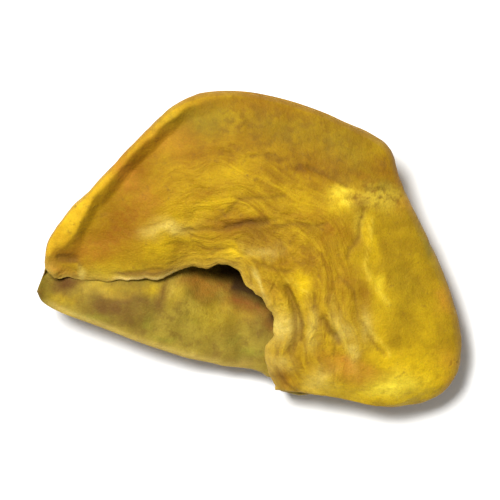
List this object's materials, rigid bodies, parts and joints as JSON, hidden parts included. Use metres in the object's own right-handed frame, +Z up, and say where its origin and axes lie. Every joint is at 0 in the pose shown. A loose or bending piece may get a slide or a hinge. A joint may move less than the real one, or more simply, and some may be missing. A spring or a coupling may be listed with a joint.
{
  "type": "dried wild turmeric root slice",
  "caption": "Dried slice of wild turmeric root, curled over on itself into a shallow open pouch with a torn fibrous edge and a smooth rim.",
  "frame": {"origin": "on the surface that the slice rests on, under the middle of its bounding box", "axes": "+X along the slice's longest way, from the pinched tip to the rounded end; +Y from the open mouth to the curled-over edge; +Z up"},
  "size_m": [0.0506, 0.0376, 0.0141],
  "materials": {
    "dried_root": "matte, dry and fibrous, with a faint waxy sheen on the smooth rim"
  },
  "bodies": {
    "root": {"turmeric_slice": "dried_root"}
  },
  "joints": []
}
